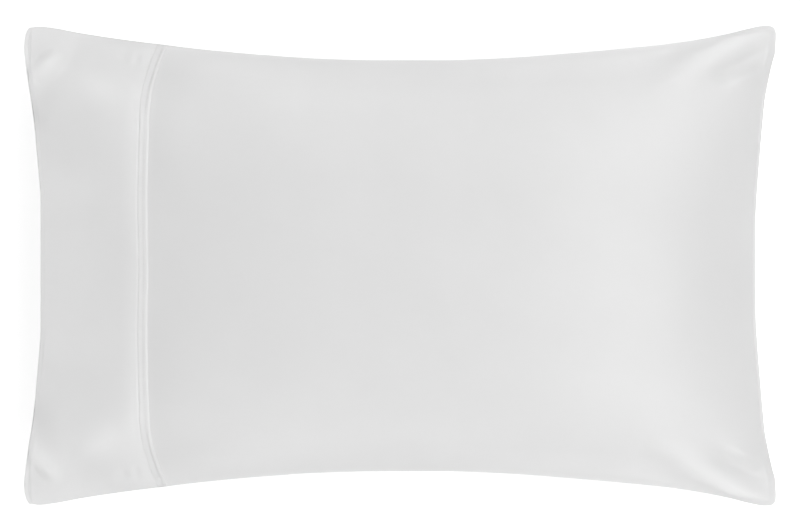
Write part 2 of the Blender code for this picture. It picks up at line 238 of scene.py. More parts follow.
# ---------------------------------------------------------------------------------------------------------------------
# The case's two faces
# ---------------------------------------------------------------------------------------------------------------------
def edge_x(edge, v):
    x = edge(np.abs(v) * 236.5)
    for _ in range(5):
        x = edge(np.abs(v) * half_width(x))
    return x


def column_x(columns, v, set_back):
    hem, tuck, sewn = edge_x(hem_edge, v) + set_back, edge_x(tuck_edge, v), edge_x(sewn_edge, v)
    first, last = tuck + TUCK_FIRST, tuck + TUCK_LAST
    lines = []
    for strip, place in columns:
        if strip == "whole":
            lines.append(hem + (sewn - hem) * place)
        elif strip == "hem":  # millimetres inside the hem's edge
            lines.append(hem + place)
        elif strip == "cuff":
            lines.append(hem + HEM_LAST + (first - hem - HEM_LAST) * place)
        elif strip == "tuck":  # millimetres along from the tuck's folded edge
            lines.append(tuck + place)
        elif strip == "body":
            lines.append(last + (sewn - SEWN_FIRST - last) * place)
        else:  # millimetres inside the sewn edge
            lines.append(sewn - place)
    return np.array(lines)


def fade(share):
    return np.clip(1 - share / END_REACH, 0, 1) ** 2


def past_hem_corner(g, v, length):
    """The share of the length, counted from where the filling starts: near the corners the hem lies flat and empty."""
    corner = np.clip((np.abs(v) - 0.60) / 0.20, 0, 1)
    lip = HEM_LIP * corner * corner * (3 - 2 * corner)
    def inset(d):
        return ((d - lip) + np.sqrt((d - lip) ** 2 + HEM_LIP_SOFT**2)) / 2
    return g + ((inset(g * length) - inset(0.0)) / length - g) * fade(g)


def ear_droop(x, y, v):
    at, over, deep, wide = EAR_DROOP
    inset = edge_x(sewn_edge, v) - x
    return deep * np.exp(-(((np.abs(y) - at) / over) ** 2)) * np.exp(-((inset / wide) ** 2))


def edge_height(g, v, hem_z):
    open_end = HEM_CORNER_Z + (hem_z - HEM_CORNER_Z) * (1 - np.abs(v) ** HEM_POWER)
    sewn_end = SEWN_CORNER_Z + (SEWN_MID_Z - SEWN_CORNER_Z) * (1 - np.abs(v) ** SEWN_POWER)
    return SIDE_Z + (open_end - SIDE_Z) * fade(g) + (sewn_end - SIDE_Z) * fade(1 - g)


def soft_inset(d, lip):
    """The distance inside the rim, nothing over the rim itself, with a soft start."""
    return ((d - lip) + np.sqrt((d - lip) ** 2 + LIP_SOFT**2)) / 2


def crown(x, y, g, v, length):
    across_half = half_width(x)
    inset = soft_inset((1 - np.abs(v)) * across_half, SIDE_LIP * v * v)
    at_rim = soft_inset(0.0, SIDE_LIP)
    def cross(d):
        return np.clip(1 - np.clip(1 - d / across_half, 0, 1) ** CROSS_POWER, 0, 1) ** CROSS_ROOT
    across = cross(inset) - 0.8 * cross(at_rim)

    near = np.clip(1 - past_hem_corner(g, v, length) / CROWN_AT, 0, 1)
    far = np.clip((g - CROWN_AT) / (1 - CROWN_AT), 0, 1)
    reach = (1 - CROWN_AT) * length
    def lengthwise(d):
        return np.clip(1 - np.clip(1 - d / reach, 0, 1) ** SEWN_END_POWER, 0, 1) ** SEWN_END_ROOT
    lip = SEWN_LIP * far * far * (1 - np.clip((np.abs(v) - 0.66) / 0.18, 0, 1))
    inset = soft_inset((1 - far) * reach, lip)
    along = np.where(g < CROWN_AT, 1 - near**OPEN_END_POWER, lengthwise(inset) - 0.8 * far * far * lengthwise(soft_inset(0.0, SEWN_LIP)))
    to_corner = np.hypot(np.minimum(370 - x, x + 370), 238 - np.abs(y))
    ear = 1 - EAR_FLATTEN * np.exp(-((to_corner / EAR_REACH) ** 2))
    return np.clip(along, 0, 1) * np.clip(across, 0, 1) * ear


def crease_rise(x, y, creases=CREASES):
    total = np.zeros_like(x)
    for start_x, start_y, middle_x, middle_y, end_x, end_y, width, rise in creases:
        best = np.full_like(x, 1e9)
        where = np.zeros_like(x)
        for t in np.linspace(0, 1, 61):
            ax = start_x * (1 - t) * (1 - 2 * t) + middle_x * 4 * t * (1 - t) + end_x * t * (2 * t - 1)
            ay = start_y * (1 - t) * (1 - 2 * t) + middle_y * 4 * t * (1 - t) + end_y * t * (2 * t - 1)
            d = np.hypot(x - ax, np.abs(y) - ay)
            nearer = d < best
            best = np.where(nearer, d, best)
            where = np.where(nearer, t, where)
        total += rise * np.sin(np.pi * np.clip(where, 0.04, 0.96)) * np.exp(-((best / width) ** 2))
    return total


def near_corner(y):
    return np.clip((np.abs(y) - 145) / 25, 0, 1)


def tuck_change(along, y):
    """The tuck's two stitched grooves trade depth along it: the cuff's one fades out towards the corners, where the one
    by the folded edge is deep, and that edge lies lower."""
    outer = 0.62 * np.clip((np.abs(y) - 138) / 20, 0, 1)
    away = np.clip((np.abs(y) - 80) / 35, 0, 1)
    inner = 0.42 * np.clip((np.abs(y) - 154) / 24, 0, 1) - 0.18 - 0.09 * away
    fold = 0.10 * away * math.exp(-(((along + 1.9) / 1.2) ** 2))
    return outer * math.exp(-(((along + 9.4) / 0.8) ** 2)) - inner * math.exp(-((along + 4.1) ** 2)) - fold


def cloth_rise(x, y, g, v, upper, beside=True):
    """How far the cloth stands off the plain crowned form."""
    side = 0 if upper else 3
    across = np.clip((1 - np.abs(v)) / 0.03, 0, 1)
    inside = across * np.clip((1 - g) / 0.012, 0, 1) * np.clip(g / 0.006, 0, 1)
    rise = crease_rise(x, y) * inside * (1 if upper else UNDER_SHARE)
    # the filling's slow unevenness, more of it in the cuff, where the case is slack
    along = x - edge_x(tuck_edge, v)
    slack = 1 / (1 + np.exp((along + 12) / 9))
    rise += (0.45 + 0.30 * slack) * smooth_noise(x / 95 + 5, y / 80 + 9, side) * inside
    rise += (0.14 + 0.34 * slack) * smooth_noise(x / 34 + 21, y / 30 + 3, side + 1) * inside
    rise -= valley(along) * valley_depth(np.abs(y)) * across
    rise += settled_rise(x, v, upper)
    if beside:  # drawn down to the tuck's stitches, and drawn up unevenly by them
        uneven = 1 + 0.22 * smooth_noise(along / 30 + 7, y / 12 + 31, side + 2)
        near = np.clip((-8 - along) / 3, 0, 1)
        shallow = 1 - 0.85 * near_corner(y) * np.clip((-8.6 - along) / 1.5, 0, 1)
        rise += beside_tuck(along) * (uneven * near + 1 - near) * shallow * np.clip((1 - np.abs(v)) / 0.05, 0, 1)
        rise += 0.24 * smooth_noise(along / 40 + 2, y / 6.5 + 13, side + 2) * np.exp(-(((along + 15) / 5.5) ** 2)) * across
    # the hem: drawn down beside the corners, and pressed
    inset = x - edge_x(hem_edge, v) - hem_set_back(np.abs(v) * 237.0) * (1 if upper else 0)
    if upper:
        at, over, deep, wide = HEM_DROOP
        rise -= deep * np.exp(-(((np.abs(y) - at) / over) ** 2)) * np.exp(-np.clip(inset, 0, None) / wide)
    at, deep, wide = HEM_LINE
    rise += deep * np.exp(-(((inset - at) / wide) ** 2)) * (1 - 0.85 * near_corner(y))
    # the seam allowance inside the sewn end beside the ears
    inset = edge_x(sewn_edge, v) - x
    at, high, wide = ALLOWANCE_LINE
    rise += high * np.exp(-(((inset - at) / wide) ** 2)) * np.clip((np.abs(y) - 150) / 60, 0.1, 1) * across
    return rise


def face_points(columns, rows, upper, bare=False, beside=True):
    """The upper or lower face as a grid of points and outward normals, a line of them for each column."""
    v = np.array(rows, float)
    x = column_x(columns, v, hem_set_back(np.abs(v) * 237.0) if upper else 0.0)
    v = np.broadcast_to(v, x.shape)
    y = v * half_width(x)
    left, right = edge_x(hem_edge, v), edge_x(sewn_edge, v)
    g = np.clip((x - left) / (right - left), 0, 1)
    full = crown(x, y, g, v, right - left)
    apart = (HEM_TOP_Z - HEM_LOW_Z) * fade(g)
    shifted = past_hem_corner(g, v, right - left)
    shut = np.clip(1 - (np.abs(v) / MOUTH_CLOSES) ** HEM_POWER, 0, 1) ** MOUTH_POWER - (1 - np.abs(v) ** HEM_POWER)
    wave = 0.9 * smooth_noise(y / 58 + 3, y * 0 + (2.5 if upper else 8.5), 6) * fade(g) * (1 - np.abs(v) ** 4)
    if upper:
        z = edge_height(shifted, v, HEM_TOP_Z) + EDGE_THICK / 2 + CROWN_UP * full + wave + 0.5 * apart * shut
    else:
        z = edge_height(shifted, v, HEM_LOW_Z) - EDGE_THICK / 2 - CROWN_DOWN * full + wave - 0.5 * apart * shut
    point = np.stack([x, y, z - ear_droop(x, y, v)], -1)

    def normals(p):
        n = np.cross(np.gradient(p, axis=0), np.gradient(p, axis=1))
        return n / np.linalg.norm(n, axis=-1, keepdims=True) * (1 if upper else -1)

    if not bare:
        point = point + normals(point) * cloth_rise(x, y, g, v, upper, beside)[..., None]
    if not upper:
        z, b = point[..., 2], GROUND_BLEND
        point[..., 2] = np.where(z > 2 * b, z, np.clip(z + 2 * b, 0, None) ** 2 / (8 * b))
    return point, normals(point)


# ---------------------------------------------------------------------------------------------------------------------
# Settling: a cloth simulation of a coarse copy gives the puckers and the unevenness of the real thing
# ---------------------------------------------------------------------------------------------------------------------
def soften(grid, cells):
    """A Gaussian blur over the grid's cells, with its edge values carried on outside."""
    reach = int(3 * cells) + 1
    k = np.exp(-np.arange(-reach, reach + 1) ** 2 / (2.0 * cells * cells))
    k /= k.sum()
    for axis in (0, 1):
        wide = np.pad(grid, [(reach, reach) if a == axis else (0, 0) for a in (0, 1)], mode="edge")
        grid = np.apply_along_axis(lambda line: np.convolve(line, k, "valid"), axis, wide)
    return grid


def settle():
    """Lets a coarse copy of the case swell as cloth that is sewn round its outline, and gives how far each face comes to
    lie off the plain form, millimetres, on an even grid of shares along and across."""
    n, m = SETTLE_COLUMNS, SETTLE_ROWS
    columns = [("whole", k / n) for k in range(n + 1)]
    rows = [-1 + 2 * j / m for j in range(m + 1)]
    rows[0], rows[-1] = -0.9999, 0.9999
    top, top_out = face_points(columns, rows, True, beside=False)
    low, low_out = face_points(columns, rows, False, beside=False)
    count = (n + 1) * (m + 1)
    ids = np.arange(count).reshape(n + 1, m + 1)
    faces = []
    for i in range(n):
        for j in range(m):
            quad = (ids[i, j], ids[i + 1, j], ids[i + 1, j + 1], ids[i, j + 1])
            faces.append(quad)
            faces.append(tuple(q + count for q in quad[::-1]))
    ring = [(i, 0) for i in range(n)] + [(n, j) for j in range(m)] + [(i, m) for i in range(n, 0, -1)]
    ring += [(0, j) for j in range(m, 0, -1)]
    for p, q in zip(ring, ring[1:] + ring[:1]):
        faces.append((ids[q], ids[p], ids[p] + count, ids[q] + count))
    points = np.concatenate([top.reshape(-1, 3), low.reshape(-1, 3)])
    me = bpy.data.meshes.new("settling")
    me.from_pydata([tuple(p) for p in points * MM], [], [tuple(int(i) for i in f) for f in faces])
    copy = bpy.data.objects.new("settling", me)
    bpy.context.scene.collection.objects.link(copy)
    held = np.zeros((n + 1, m + 1), bool)
    held[[0, -1], :] = held[:, [0, -1]] = True
    grounded = low[..., 2] < 3.0
    pins = [int(i) for i in ids[held]] + [int(i) + count for i in ids[held | grounded]]
    copy.vertex_groups.new(name="sewn").add(pins, 1.0, "REPLACE")
    cloth_modifier = copy.modifiers.new("Cloth", "CLOTH")
    s = cloth_modifier.settings
    s.quality = 6
    s.mass = 0.15
    s.tension_stiffness = s.compression_stiffness = 15
    s.shear_stiffness, s.bending_stiffness = 5, 0.4
    s.use_pressure, s.uniform_pressure_force = True, SETTLE_PRESSURE
    s.shrink_min = -SETTLE_SPARE
    s.effector_weights.gravity = 0
    s.vertex_group_mass = "sewn"
    cloth_modifier.collision_settings.use_collision = False
    cloth_modifier.point_cache.frame_start, cloth_modifier.point_cache.frame_end = 1, SETTLE_FRAMES
    scene = bpy.context.scene
    for frame_number in range(1, SETTLE_FRAMES + 1):
        scene.frame_set(frame_number)
    settled = copy.evaluated_get(bpy.context.evaluated_depsgraph_get()).data
    at = np.zeros(len(points) * 3)
    settled.vertices.foreach_get("co", at)
    moved = at.reshape(-1, 3) / MM - points
    scene.frame_set(1)
    bpy.data.objects.remove(copy, do_unlink=True)
    lies = []
    for shift, out in ((moved[:count], top_out), (moved[count:], low_out)):
        rise = (shift.reshape(n + 1, m + 1, 3) * out).sum(-1)
        rise = soften(rise, 0.6) - soften(rise, SETTLE_BLUR)
        # its outline stays sewn, and the ground keeps the underside flat
        i, j = np.minimum(np.arange(n + 1), n - np.arange(n + 1)), np.minimum(np.arange(m + 1), m - np.arange(m + 1))
        rise = rise * np.clip(i / 2.5, 0, 1)[:, None] * np.clip(j / 2.5, 0, 1)
        if out is low_out:
            rise = rise * np.clip((low[..., 2] - 4) / 18, 0, 1)
        lies.append(SETTLE_CAP * np.tanh(rise / SETTLE_CAP))
    return lies


def settled_rise(x, v, upper):
    """What the settling adds at a place on a face, read from its grid smoothly."""
    grid = SETTLED[0 if upper else 1]
    n, m = grid.shape[0] - 1, grid.shape[1] - 1
    hem = edge_x(hem_edge, v) + (hem_set_back(np.abs(v) * 237.0) if upper else 0.0)
    a = np.clip((x - hem) / (edge_x(sewn_edge, v) - hem), 0, 1) * n
    b = np.clip((v + 1) / 2, 0, 1) * m
    i, j = np.clip(a.astype(int), 0, n - 1), np.clip(b.astype(int), 0, m - 1)
    s, t = a - i, b - j

    def weights(t):  # a cubic through the four nearest values
        return (-t + 2 * t**2 - t**3) / 2, (2 - 5 * t**2 + 3 * t**3) / 2, (t + 4 * t**2 - 3 * t**3) / 2, (t**3 - t**2) / 2

    total = np.zeros_like(x)
    for di, wi in enumerate(weights(s)):
        for dj, wj in enumerate(weights(t)):
            total += wi * wj * grid[np.clip(i + di - 1, 0, n), np.clip(j + dj - 1, 0, m)]
    return total * (SETTLE_ABOVE if upper else SETTLE_BELOW)


HEM_COLUMNS = (0.0, 0.5, 1.1, 1.7, 2.2, 2.7, 3.2, 3.8, 4.8, 6.5, 9.0, 12.0)
TUCK_COLUMNS = (-46.0, -42.0, -38.0, -34.5, -31.0, -28.0, -25.0, -22.5, -20.0, -18.0, -16.2, -14.6, -13.2, -12.2, -11.4,
                -10.8, -10.2, -9.6, -9.0, -8.2, -6.0, -2.0, 0.0, 1.2, 2.6, 4.4, 6.6, 9.4, 12.6, 16.0, 20.0, 24.0)
SEWN_COLUMNS = (14.0, 11.0, 9.0, 7.6, 6.4, 5.4, 4.5, 3.7, 2.9, 2.0, 1.0, 0.0)
HEM_LAST, SEWN_FIRST = HEM_COLUMNS[-1], SEWN_COLUMNS[0]
TUCK_FIRST, TUCK_LAST = TUCK_COLUMNS[0], TUCK_COLUMNS[-1]
SIDE_ROWS = (0.0, 0.8, 1.6, 2.3, 3.0, 3.8, 4.8, 6.2, 8.0, 10.4, 13.2)
CUFF_STEPS, BODY_STEPS, ROW_STEPS = 14, 138, 146

SETTLED = [np.zeros((2, 2)), np.zeros((2, 2))]  # none yet, while the settling itself runs
SETTLED = settle()


def lay_columns():
    columns = [("hem", mm) for mm in HEM_COLUMNS]
    columns += [("cuff", k / CUFF_STEPS) for k in range(1, CUFF_STEPS)]
    columns += [("tuck", mm) for mm in TUCK_COLUMNS]
    columns += [("body", k / BODY_STEPS) for k in range(1, BODY_STEPS)]
    return columns + [("sewn", mm) for mm in SEWN_COLUMNS]


def lay_rows():
    """From one long side to the other, as shares of the half width."""
    side = [mm / 222.0 - 1 for mm in SIDE_ROWS]
    middle = [side[-1] * (1 - 2 * k / ROW_STEPS) for k in range(1, ROW_STEPS)]
    return side + middle + [-v for v in side[::-1]]


def mesh_object(name, points, faces, uv=None):
    me = bpy.data.meshes.new(name)
    me.from_pydata([tuple(p) for p in np.asarray(points) * MM], [], faces)
    if uv is not None:
        layer = me.uv_layers.new(name="cloth")
        loops = np.zeros(len(me.loops), dtype=np.int32)
        me.loops.foreach_get("vertex_index", loops)
        layer.data.foreach_set("uv", np.asarray(uv, np.float32)[loops].ravel())
    me.shade_smooth()
    ob = bpy.data.objects.new(name, me)
    bpy.context.scene.collection.objects.link(ob)
    return ob


def fewer_layers_and_light(y):
    """The tuck's allowance, with painted light on the cuff's shoulder beside it, thins out towards the corners."""
    return 1 - 0.75 * np.clip((np.abs(y) - 168) / 30, 0, 1)


def tuck_layers_and_highlight(y, along):
    """The same on the tuck itself, whose folded edge stays the whitest: partly its doubled cloth, partly a painted
    highlight along the fold.
    """
    return 1 - np.where(along < -2.4, 1.35, 0.90) * np.clip((np.abs(y) - 148) / 42, 0, 1)


def mark_layers_and_light(ob, share):
    """How much whiter the cloth is painted at each point, 0 to 1: partly for doubled cloth under it, partly painted
    light and highlight.
    """
    layers_and_light = ob.data.attributes.new("layers_and_light", "FLOAT", "POINT")
    layers_and_light.data.foreach_set("value", np.asarray(share, np.float32))


def make_case():
    """The case and its filling as one closed form, with the mouth between its hems."""
    columns, rows = lay_columns(), lay_rows()
    n, m = len(columns) - 1, len(rows) - 1
    top, _ = face_points(columns, rows, True)
    low, _ = face_points(columns, rows, False)
    points = [top.reshape(-1, 3), low.reshape(-1, 3)]
    count = 2 * (n + 1) * (m + 1)

    # the cloth's own coordinates, millimetres along and across
    def spread(p):
        along = np.concatenate([np.zeros((1, m + 1)), np.cumsum(np.linalg.norm(np.diff(p, axis=0), axis=-1), 0)])
        across = np.concatenate([np.zeros((n + 1, 1)), np.cumsum(np.linalg.norm(np.diff(p, axis=1), axis=-1), 1)], 1)
        return np.stack([along, across], -1).reshape(-1, 2)
    uv = [spread(top), spread(low) + [0, 600]]

    def t(i, j):
        return i * (m + 1) + j

    def b(i, j):
        return (n + 1) * (m + 1) + i * (m + 1) + j

    faces = []
    for i in range(n):
        for j in range(m):
            faces.append((t(i, j), t(i + 1, j), t(i + 1, j + 1), t(i, j + 1)))
            faces.append((b(i, j), b(i, j + 1), b(i + 1, j + 1), b(i + 1, j)))

    extra, extra_uv = [], []

    def add(p, q):
        extra.append(p)
        extra_uv.append(q)
        return count + len(extra) - 1

    # the rim, where the two layers are sewn together: two soft lips with a groove between them
    ring = [(i, 0) for i in range(n)] + [(n, j) for j in range(m)] + [(i, m) for i in range(n, 0, -1)]
    ring += [(0, j) for j in range(m, 0, -1)]
    edge = np.array([(top[i, j] + low[i, j]) / 2 for i, j in ring])
    ahead = np.roll(edge, -1, 0) - np.roll(edge, 1, 0)
    out = np.cross(ahead, (0, 0, 1.0))
    out /= np.linalg.norm(out, axis=-1, keepdims=True)
    rim = ((0.42, 0.82), (0.50, 0.45), (0.20, 0.14), (0.05, 0.0), (0.20, -0.14), (0.50, -0.45), (0.42, -0.82))
    seam = {}
    for k, (i, j) in enumerate(ring):
        if i == 0 and 0 < j < m:
            continue
        p, q, middle = top[i, j], low[i, j], edge[k]
        half = (p[2] - q[2]) / 2
        ids = [t(i, j)]
        for o, h in rim:
            base = q + (p - q) * (h + 1) / 2
            ids.append(add(base + out[k] * o, uv[0][t(i, j)] + (0, 0.3 * len(ids))))
        seam[i, j] = ids + [b(i, j)]
    for k, (i, j) in enumerate(ring):
        p, q = ring[k - 1], (i, j)
        if p in seam and q in seam:
            one, two = seam[p], seam[q]
            for h in range(len(one) - 1):
                faces.append((one[h], one[h + 1], two[h + 1], two[h]))

    # the mouth, row by row: round the upper hem's fold, in, and back out round the lower hem's fold
    fold = [math.radians(d) for d in (60, 30, 0, -30, -60)]
    deep = ((0.0, 1.0), (0.12, 1.0), (0.30, 1.0), (0.50, 0.995), (0.68, 0.98), (0.82, 0.9), (0.92, 0.72), (0.98, 0.42))

    def mouth_row(j):
        p, q = top[0, j], low[0, j]
        gap = p[2] - q[2]
        ends = np.clip((MOUTH_SHUT - abs(rows[j])) / (MOUTH_SHUT - MOUTH_FULL), 0, 1)
        open_here = ends * ends * (3 - 2 * ends)
        thick = min(HEM_THICK, 0.3 * gap)
        mid, half = (p[2] + q[2]) / 2, gap / 2 - thick
        r = thick / 2
        parted = [(p[0] - r * math.cos(d), p[2] - r + r * math.sin(d)) for d in fold]
        parted += [(p[0] + s * MOUTH_DEPTH, mid + share * half) for s, share in deep]
        parted += [(p[0] + MOUTH_DEPTH, mid)]
        parted += [(q[0] + s * (p[0] + MOUTH_DEPTH - q[0]), mid - share * half) for s, share in deep[::-1]]
        parted += [(q[0] - r * math.cos(d), q[2] + r + r * math.sin(d)) for d in fold]
        # where the hems lie closed, the upper one steps down softly onto the lower one and that turns under
        r = min(0.25 * gap, 0.8)
        closed = [(p[0] - 0.14 * k, p[2] - 0.04 * k - 0.010 * k * k) for k in (1, 2, 3, 4, 5)]
        start = closed[-1]
        for k in np.linspace(0, 1, len(parted) - 2 * len(fold) + 1)[1:]:
            x = start[0] + (min(q[0], start[0] - 0.1) - start[0]) * k
            closed.append((x, start[1] + (q[2] + 2 * r - start[1]) * k))
        closed += [(q[0] - r * math.cos(d), q[2] + r + r * math.sin(d)) for d in fold]
        path = [(a[0] + (b[0] - a[0]) * open_here, a[1] + (b[1] - a[1]) * open_here) for a, b in zip(closed, parted)]
        at = uv[0][t(0, j)]
        last, total = np.array([p[0], p[2]]), 0.0
        ids = [t(0, j)]
        for x, z in path:
            total += float(np.hypot(*(np.array([x, z]) - last)))
            last = np.array([x, z])
            ids.append(add((x, p[1], z), (at[0] - total, at[1])))
        return ids + [b(0, j)]

    paths = [mouth_row(j) for j in range(m + 1)]
    for one, two in zip(paths, paths[1:]):
        for k in range(len(one) - 1):
            faces.append((one[k], two[k], two[k + 1], one[k + 1]))
    for path, j, turn in ((paths[0], 0, 1), (paths[-1], m, -1)):
        # the rim's end meets the mouth's: a closed loop of both, filled
        loop = seam[0, j] + path[-2:0:-1]
        faces.append(tuple(loop) if turn > 0 else tuple(loop[::-1]))

    points.append(np.array(extra))
    uv.append(np.array(extra_uv))
    case = mesh_object("case", np.concatenate(points), faces, np.concatenate(uv))
    bpy.context.view_layer.objects.active = case
    case.data.validate()
    import bmesh
    bm = bmesh.new()
    bm.from_mesh(case.data)
    many = [f for f in bm.faces if len(f.verts) > 4]
    bmesh.ops.triangulate(bm, faces=many, quad_method="BEAUTY", ngon_method="EAR_CLIP")
    bmesh.ops.recalc_face_normals(bm, faces=bm.faces)
    bm.to_mesh(case.data)
    bm.free()
    case.data.shade_smooth()
    case.data.set_sharp_from_angle(angle=math.radians(62))
    # the tuck's own allowance lies under the cuff beside it, and painted light brightens that shoulder of the cuff
    # beside the stitches
    beside = [np.interp(place, (-26, -18, -11, 0.4, 1.2), (0, 0.4, 1, 1, 0)) if strip == "tuck" else 0 for strip, place in columns]
    share = np.array(beside)[:, None] * np.ones(m + 1)
    # the long sides whitened towards the rim: partly the seam allowance, partly painted light on the steep sides
    rim_whitening = [rim_layers_and_light_along(p[..., 0]) * np.clip(1 - (1 - np.abs(p[..., 1]) / half_width(p[..., 0])) * 222 / RIM_WIDE, 0, 1) ** 1.2
                 for p in (top, low)]
    hem = np.array([1.0 if strip in ("hem", "cuff") else np.interp(place, (-11, -9), (1, 0)) if strip == "tuck" else 0.0
                    for strip, place in columns])[:, None]
    share = share * (1 - 0.3 * hem)
    # each face's whitening: the doubled cuff, the tuck's allowance, gathered folds and the rim, each partly real cloth
    # and partly painted light and highlight
    above = hem * cuff_layers_and_light(np.abs(top[..., 1])) + share * fewer_layers_and_light(top[..., 1]) + crease_rise(top[..., 0], top[..., 1], GATHERED_AND_LIT) + RIM_LAYERS_AND_LIGHT * rim_whitening[0]
    below = hem * cuff_layers_and_light(np.abs(low[..., 1])) + share * fewer_layers_and_light(low[..., 1]) + RIM_LAYERS_AND_LIGHT * rim_whitening[1]
    # the rim's lips along the long sides and towards the corners, and the mouth's near them, whitened: partly the
    # seam's layers, partly painted light on these steep edges
    beyond = np.abs(np.array(extra)[:, 1])
    lip_whitening = RIM_LAYERS_AND_LIGHT * (1.4 * np.clip((beyond - 160) / 22, 0, 1) - 0.6 * np.clip((beyond - 202) / 20, 0, 1))
    mark_layers_and_light(case, np.concatenate([above.ravel(), below.ravel(), lip_whitening]))
    return case


# ---------------------------------------------------------------------------------------------------------------------
# The tuck, the seams and the stitches
# ---------------------------------------------------------------------------------------------------------------------
def even_rows(columns, upper, spacing):
    """Rows at even distances along the first of the columns."""
    fine = np.sin(np.linspace(-math.pi / 2, math.pi / 2, 2001)) * 0.9995
    line, _ = face_points(columns, fine, upper, bare=True)
    far = np.concatenate([[0], np.cumsum(np.linalg.norm(np.diff(line[0], axis=0), axis=-1))])
    count = int(round(far[-1] / spacing))
    return np.interp(np.linspace(0, far[-1], count + 1), far, fine), far[-1]


def sweep(name, loops, layers_and_light):
    """A solid swept through loops of points, one loop a row."""
    loops = np.asarray(loops)
    r, k = loops.shape[:2]
    ids = np.arange(r * k).reshape(r, k)
    faces = []
    for i in range(r - 1):
        for j in range(k):
            j2 = (j + 1) % k
            faces.append((ids[i, j], ids[i + 1, j], ids[i + 1, j2], ids[i, j2]))
    faces.append(tuple(ids[0]))
    faces.append(tuple(ids[-1][::-1]))
    run = np.concatenate([[0], np.cumsum(np.linalg.norm(np.diff(loops[:, 0], axis=0), axis=-1))])
    girth = np.concatenate([[0], np.cumsum(np.linalg.norm(np.diff(loops[0], axis=0), axis=-1))])
    uv = np.stack(np.meshgrid(girth, run), -1).reshape(-1, 2)
    ob = mesh_object(name, loops.reshape(-1, 3), [tuple(int(i) for i in f) for f in faces], uv)
    import bmesh
    bm = bmesh.new()
    bm.from_mesh(ob.data)
    bmesh.ops.recalc_face_normals(bm, faces=bm.faces)
    bm.to_mesh(ob.data)
    bm.free()
    ob.data.shade_smooth()
    mark_layers_and_light(ob, layers_and_light.ravel())
    return ob


def make_tuck(upper):
    columns = [("tuck", a) for a in sorted({a for a, _ in TUCK_LOOP})]
    order = {a: k for k, (_, a) in enumerate(columns)}
    rows, length = even_rows([("tuck", -5.0), ("tuck", 0.0)], upper, 1.15)
    point, normal = face_points(columns, rows, upper, beside=False)
    run = np.linspace(0, length, len(rows))
    loops = []
    side = 0.0 if upper else 40.0
    fades = np.clip(np.minimum(run, run[-1] - run) / 11, 0, 1)  # as BESIDE_TUCK's, towards the side seams
    shift = 0.30 * smooth_noise(run / 21, run * 0 + 15.1 + side, 4) + 0.14 * smooth_noise(run / 7, run * 0 + 5.1 + side, 7)
    pucker = 0.10 * smooth_noise(run / 5.5, run * 0 + 3.3 + side, 4) + 0.07 * smooth_noise(run / 2.9, run * 0 + 9.7 + side, 5)
    fold = 0.10 * smooth_noise(run / 12.0, run * 0 + 27.3 + side, 4)
    for along, level in TUCK_LOOP:
        k = order[along]
        top = level > -1
        h = level + (tuck_change(along, point[k][:, 1]) if top else np.zeros_like(run))
        if -9.0 < along < -2.6 and top:  # between the stitch rows the cloth is drawn up unevenly
            h = h + pucker
        elif along >= -2.6 and level > -1.2:
            h = h + fold + 0.3 * pucker
        if level > -1.2:
            h = h * fades + (1 - fades) * (0.35 if level > -0.9 else -0.2)
        p = point[k] + normal[k] * h[:, None]
        if along > -3:  # the folded edge wanders a little
            p = p + np.array([1.0, 0, 0]) * (shift * (along + 3) / 3)[:, None]
        loops.append(p)
    loops = np.swapaxes(np.array(loops), 0, 1)
    return sweep("tuck_upper" if upper else "tuck_lower", loops, tuck_layers_and_highlight(loops[..., 1], np.array(TUCK_LOOP)[:, 0]))


def make_stitches(upper):
    """Stitches along the tuck: short threads that dip into the cloth at both ends."""
    sides, rings = 7, 7
    points, faces = [], []
    for number, (along, height) in enumerate(STITCH_ROWS):
        columns = [("tuck", along), ("tuck", along + 0.4)]
        rows, length = even_rows(columns, upper, 0.25)
        point, normal = face_points(columns, rows, upper, beside=False)
        line, up = point[0], normal[0]
        run = np.linspace(0, length, len(rows))
        count = int((length - 6) / STITCH_PITCH)
        for s in range(count):
            start = 3 + s * STITCH_PITCH + 0.5 * number * STITCH_PITCH
            at = np.linspace(start, start + STITCH_LENGTH, rings)
            if at[-1] > length - 1:
                continue
            path = np.stack([np.interp(at, run, line[:, c]) for c in range(3)], -1)
            lift = np.stack([np.interp(at, run, up[:, c]) for c in range(3)], -1)
            arch = np.sin(np.linspace(0.0, math.pi, rings))
            path = path + lift * (height + tuck_change(along, path[:, 1]) - 0.16 + 0.30 * arch)[:, None]
            ahead = np.gradient(path, axis=0)
            ahead /= np.linalg.norm(ahead, axis=-1, keepdims=True)
            across = np.cross(ahead, lift)
            across /= np.linalg.norm(across, axis=-1, keepdims=True)
            radius = THREAD / 2 * (0.45 + 0.55 * arch**0.5)
            first = len(points)
            for k in range(rings):
                for q in range(sides):
                    d = 2 * math.pi * q / sides
                    points.append(path[k] + radius[k] * (math.cos(d) * across[k] + math.sin(d) * lift[k]))
            for k in range(rings - 1):
                for q in range(sides):
                    q2 = (q + 1) % sides
                    i = first + k * sides
                    faces.append((i + q, i + q2, i + sides + q2, i + sides + q))
            faces.append(tuple(range(first + sides - 1, first - 1, -1)))
            last = first + (rings - 1) * sides
            faces.append(tuple(range(last, last + sides)))
    return mesh_object("stitches_upper" if upper else "stitches_lower", np.array(points), [f[::-1] for f in faces])


